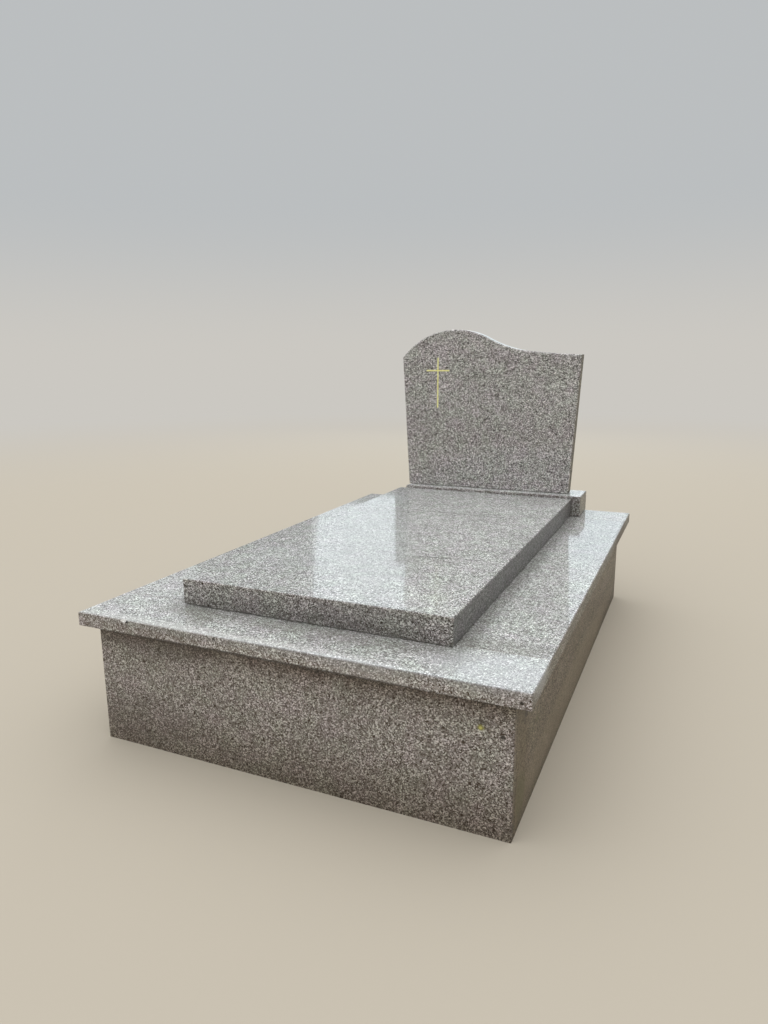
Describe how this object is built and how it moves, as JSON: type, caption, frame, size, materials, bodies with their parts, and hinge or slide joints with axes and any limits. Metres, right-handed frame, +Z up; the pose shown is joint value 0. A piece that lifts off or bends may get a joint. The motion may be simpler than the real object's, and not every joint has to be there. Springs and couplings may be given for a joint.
{
  "type": "granite grave monument with headstone",
  "caption": "Polished grey granite grave monument: clad plinth, wide coping and thick ledger slab, with an upright headstone whose top rises to a round crest and sweeps down.",
  "frame": {"origin": "on the ground, in the middle of the coping's outline", "axes": "+X to the right of someone who stands at the foot and reads the headstone, +Y from the foot of the grave to the headstone, +Z up"},
  "size_m": [1.65, 2.5, 1.549],
  "materials": {
    "polished_granite": "polished",
    "vault_concrete": "cast, rough",
    "bedding_mortar": "rough, shaded",
    "joint_pointing": "matt",
    "gold_leaf": "satin gilding"
  },
  "bodies": {
    "root": {"backing_mortar": "bedding_mortar", "base_bed": "bedding_mortar", "cladding_back": "polished_granite", "cladding_front": "polished_granite", "cladding_left": "polished_granite", "cladding_right": "polished_granite", "coping_back": "polished_granite", "coping_bed": "bedding_mortar", "coping_front": "polished_granite", "coping_joint_back_left": "joint_pointing", "coping_joint_back_right": "joint_pointing", "coping_joint_front_left": "joint_pointing", "coping_joint_front_right": "joint_pointing", "coping_left": "polished_granite", "coping_right": "polished_granite", "corner_joint_back_left": "joint_pointing", "corner_joint_back_right": "joint_pointing", "corner_joint_front_left": "joint_pointing", "corner_joint_front_right": "joint_pointing", "cross_gold_leaf": "gold_leaf", "headstone": "polished_granite", "headstone_base": "polished_granite", "headstone_bed": "bedding_mortar", "ledger_bed": "bedding_mortar", "ledger_slab": "polished_granite", "vault_wall_back": "vault_concrete", "vault_wall_front": "vault_concrete", "vault_wall_left": "vault_concrete", "vault_wall_right": "vault_concrete"}
  },
  "joints": []
}
